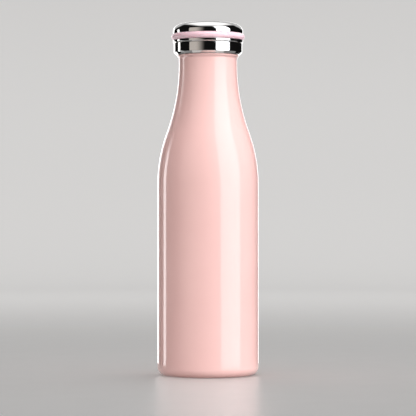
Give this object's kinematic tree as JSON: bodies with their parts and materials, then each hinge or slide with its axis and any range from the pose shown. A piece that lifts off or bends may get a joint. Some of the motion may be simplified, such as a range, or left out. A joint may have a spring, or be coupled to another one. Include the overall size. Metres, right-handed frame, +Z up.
{
  "type": "vacuum flask",
  "caption": "Milk-bottle-shaped double-wall steel vacuum flask with a screw-on drinking spout and a domed, silicone-ringed screw cap.",
  "frame": {"origin": "centre of the ring the bottle stands on, at table level", "axes": "+Z up along the bottle's axis, +X to the right and -Y towards the viewer; the part is round, so X and Y are otherwise free"},
  "size_m": [0.065, 0.065, 0.2264],
  "materials": {
    "enamel": "gloss pale-pink powder coat on stainless steel",
    "satin_steel": "electropolished stainless steel",
    "polished_steel": "mirror-polished stainless steel",
    "solder_glass": "fused brown solder glass",
    "getter_metal": "pressed metal powder",
    "copper_foil": "bright copper foil",
    "clear_silicone": "translucent silicone",
    "pink_silicone": "satin pink silicone",
    "spout_plastic": "satin off-white polypropylene",
    "cap_plastic": "fine-textured off-white polypropylene",
    "foam": "closed-cell foam"
  },
  "bodies": {
    "bottle": {"outer_shell": "enamel", "base_cover": "satin_steel", "vacuum_base": "satin_steel", "vacuum_seal": "solder_glass", "getter": "getter_metal", "inner_vessel": "satin_steel", "inner_base": "satin_steel", "foil_wrap": "copper_foil"},
    "spout_seal": {"neck_gasket": "clear_silicone"},
    "spout": {"mouthpiece": "spout_plastic", "collar": "polished_steel"},
    "cap_seal": {"stopper_gasket": "clear_silicone"},
    "cap": {"stopper": "cap_plastic", "stopper_base": "cap_plastic", "foam_plug": "foam", "cap_liner": "cap_plastic", "bond_pad": "foam", "cap_shell": "polished_steel", "grip_ring": "pink_silicone"}
  },
  "joints": [
    {"name": "spout_rise", "type": "slide", "parent": "bottle", "child": "spout_seal", "axis": [0, 0, 1], "range_m": [0, 0.009]},
    {"name": "spout_turn", "type": "hinge", "parent": "spout_seal", "child": "spout", "pos_m": [0, 0, 0.209], "axis": [0, 0, 1], "range_deg": [0, 1080]},
    {"name": "cap_rise", "type": "slide", "parent": "spout", "child": "cap_seal", "axis": [0, 0, 1], "range_m": [0, 0.018]},
    {"name": "cap_turn", "type": "hinge", "parent": "cap_seal", "child": "cap", "pos_m": [0, 0, 0.219], "axis": [0, 0, 1], "range_deg": [0, 1080]}
  ],
  "couplings": [
    {"joint": "spout_rise", "follows": "spout_turn", "m_per_rad": 0.00047746},
    {"joint": "cap_rise", "follows": "cap_turn", "m_per_rad": 0.00095492}
  ]
}
